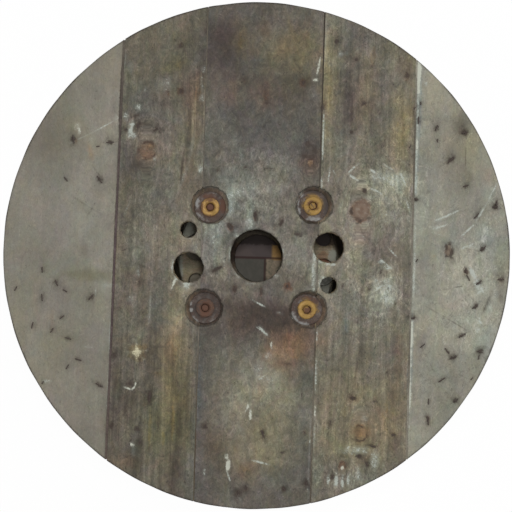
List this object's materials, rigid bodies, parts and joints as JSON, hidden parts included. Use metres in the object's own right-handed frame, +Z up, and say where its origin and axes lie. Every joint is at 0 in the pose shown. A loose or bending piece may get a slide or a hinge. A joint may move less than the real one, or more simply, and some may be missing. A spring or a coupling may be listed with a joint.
{
  "type": "wooden cable drum",
  "caption": "Wooden cable drum standing on one flange: crossed-board flanges, a hollow barrel of staves, and tie rods held by sleeve nuts in counterbores.",
  "frame": {"origin": "centre of the lower flange's outer face, which the drum stands on", "axes": "+Z up along the drum's axis; the face boards of both flanges run along Y, and their inner boards along X"},
  "size_m": [0.8, 0.8, 0.52],
  "materials": {
    "face_board": "sawn pine, weathered grey-brown, scuffed and stained",
    "side_board": "sawn pine, weathered pale grey, scratched, with nail marks",
    "inner_board": "sawn pine, dusty, less weathered",
    "stave": "planed pine, dusty, less weathered",
    "rusted_steel": "steel with dark brown rust",
    "yellow_zinc": "yellow-passivated zinc on steel, worn and rusted in places"
  },
  "bodies": {
    "root": {"upper_outer_board_1": "side_board", "upper_outer_board_2": "face_board", "upper_outer_board_3": "face_board", "upper_outer_board_4": "face_board", "upper_outer_board_5": "side_board", "upper_inner_board_1": "inner_board", "upper_inner_board_2": "inner_board", "upper_inner_board_3": "inner_board", "upper_inner_board_4": "inner_board", "upper_inner_board_5": "inner_board", "lower_outer_board_1": "side_board", "lower_outer_board_2": "face_board", "lower_outer_board_3": "face_board", "lower_outer_board_4": "face_board", "lower_outer_board_5": "side_board", "lower_inner_board_1": "inner_board", "lower_inner_board_2": "inner_board", "lower_inner_board_3": "inner_board", "lower_inner_board_4": "inner_board", "lower_inner_board_5": "inner_board", "stave_01": "stave", "stave_02": "stave", "stave_03": "stave", "stave_04": "stave", "stave_05": "stave", "stave_06": "stave", "stave_07": "stave", "stave_08": "stave", "stave_09": "stave", "stave_10": "stave", "stave_11": "stave", "stave_12": "stave", "stave_13": "stave", "stave_14": "stave", "tie_rod_1": "rusted_steel", "tie_rod_2": "rusted_steel", "tie_rod_3": "rusted_steel", "tie_rod_4": "rusted_steel", "upper_washer_1": "rusted_steel", "upper_washer_2": "rusted_steel", "upper_washer_3": "rusted_steel", "upper_washer_4": "rusted_steel", "upper_nut_1": "yellow_zinc", "upper_nut_2": "yellow_zinc", "upper_nut_3": "yellow_zinc", "upper_nut_4": "yellow_zinc", "lower_washer_1": "rusted_steel", "lower_washer_2": "rusted_steel", "lower_washer_3": "rusted_steel", "lower_washer_4": "rusted_steel", "lower_nut_1": "yellow_zinc", "lower_nut_2": "yellow_zinc", "lower_nut_3": "yellow_zinc", "lower_nut_4": "yellow_zinc"}
  },
  "joints": []
}
